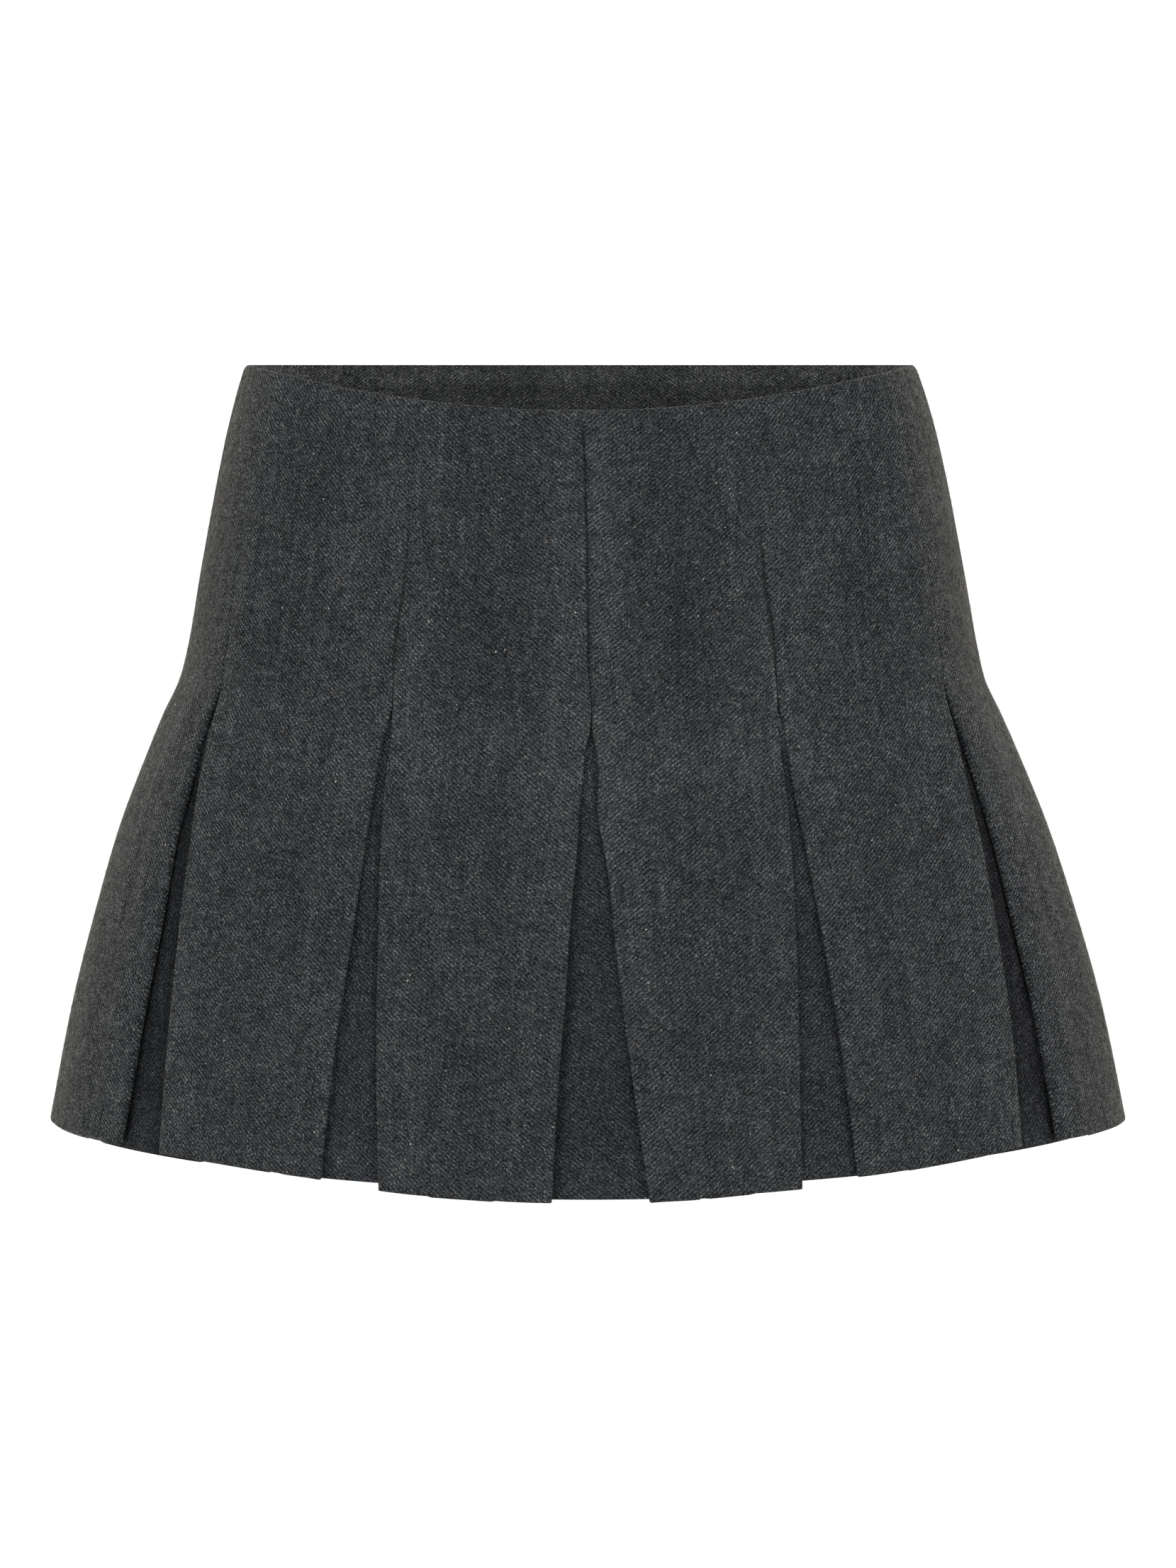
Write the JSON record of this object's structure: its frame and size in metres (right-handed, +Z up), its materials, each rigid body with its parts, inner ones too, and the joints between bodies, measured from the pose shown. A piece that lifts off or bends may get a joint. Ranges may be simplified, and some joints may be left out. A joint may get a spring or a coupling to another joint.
{
  "type": "pleated mini skirt",
  "caption": "Low-rise A-line mini skirt in charcoal wool twill, with inverted pleats all round, sewn shut over the hip and open towards the hem.",
  "frame": {"origin": "centre of the waist opening, level with the back waist edge", "axes": "+Z up out of the waist, the front faces -Y, +X towards the wearer's left"},
  "size_m": [0.4817, 0.3803, 0.343],
  "materials": {
    "wool_twill": "brushed charcoal melange flannel twill, matt with a short soft nap",
    "wool_twill_underlay": "the same flannel twill inside the pleats, matt"
  },
  "bodies": {
    "root": {"panel_front_left_inner": "wool_twill", "panel_front_left_middle": "wool_twill", "panel_front_left_side": "wool_twill", "panel_back_left_side": "wool_twill", "panel_back_left_middle": "wool_twill", "panel_back_left_inner": "wool_twill", "panel_back_right_inner": "wool_twill", "panel_back_right_middle": "wool_twill", "panel_back_right_side": "wool_twill", "panel_front_right_side": "wool_twill", "panel_front_right_middle": "wool_twill", "panel_front_right_inner": "wool_twill", "underlay_front_centre": "wool_twill_underlay", "underlay_front_left_inner": "wool_twill_underlay", "underlay_front_left_outer": "wool_twill_underlay", "underlay_side_left": "wool_twill_underlay", "underlay_back_left_outer": "wool_twill_underlay", "underlay_back_left_inner": "wool_twill_underlay", "underlay_back_centre": "wool_twill_underlay", "underlay_back_right_inner": "wool_twill_underlay", "underlay_back_right_outer": "wool_twill_underlay", "underlay_side_right": "wool_twill_underlay", "underlay_front_right_outer": "wool_twill_underlay", "underlay_front_right_inner": "wool_twill_underlay"}
  },
  "joints": []
}
